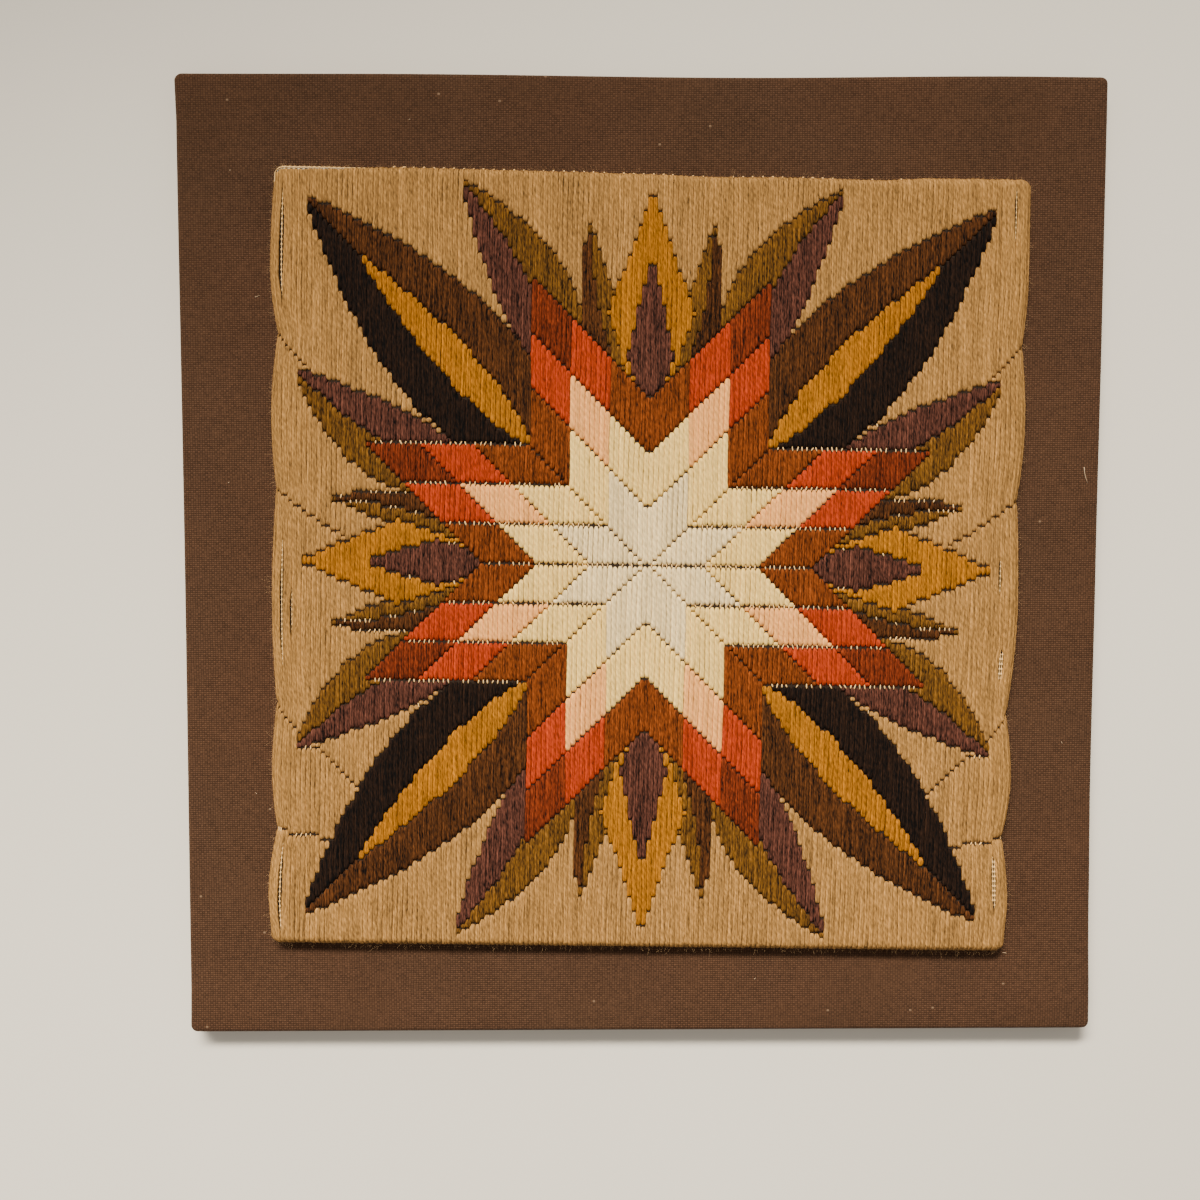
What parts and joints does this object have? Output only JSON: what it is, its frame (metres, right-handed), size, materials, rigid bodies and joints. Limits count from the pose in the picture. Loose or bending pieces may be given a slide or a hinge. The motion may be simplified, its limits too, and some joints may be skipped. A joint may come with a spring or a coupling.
{
  "type": "long-stitch embroidered wall panel on a cloth-covered board",
  "caption": "Square wool long-stitch embroidery with a star and leaf design, stretched over a padded card and fixed slightly askew on the front of a board covered in brown plain-weave cloth.",
  "frame": {"origin": "middle of the board's back, on the surface that the panel lies on", "axes": "+X across the picture to its right, +Y up the picture, +Z out of its face"},
  "size_m": [0.48, 0.5, 0.0224],
  "materials": {
    "board_cloth": "brown plain-weave cloth, matt",
    "stitched_wool": "two-ply wool in upright long stitches on white canvas"
  },
  "bodies": {
    "root": {"covered_board": "board_cloth", "embroidered_panel": "stitched_wool"}
  },
  "joints": []
}
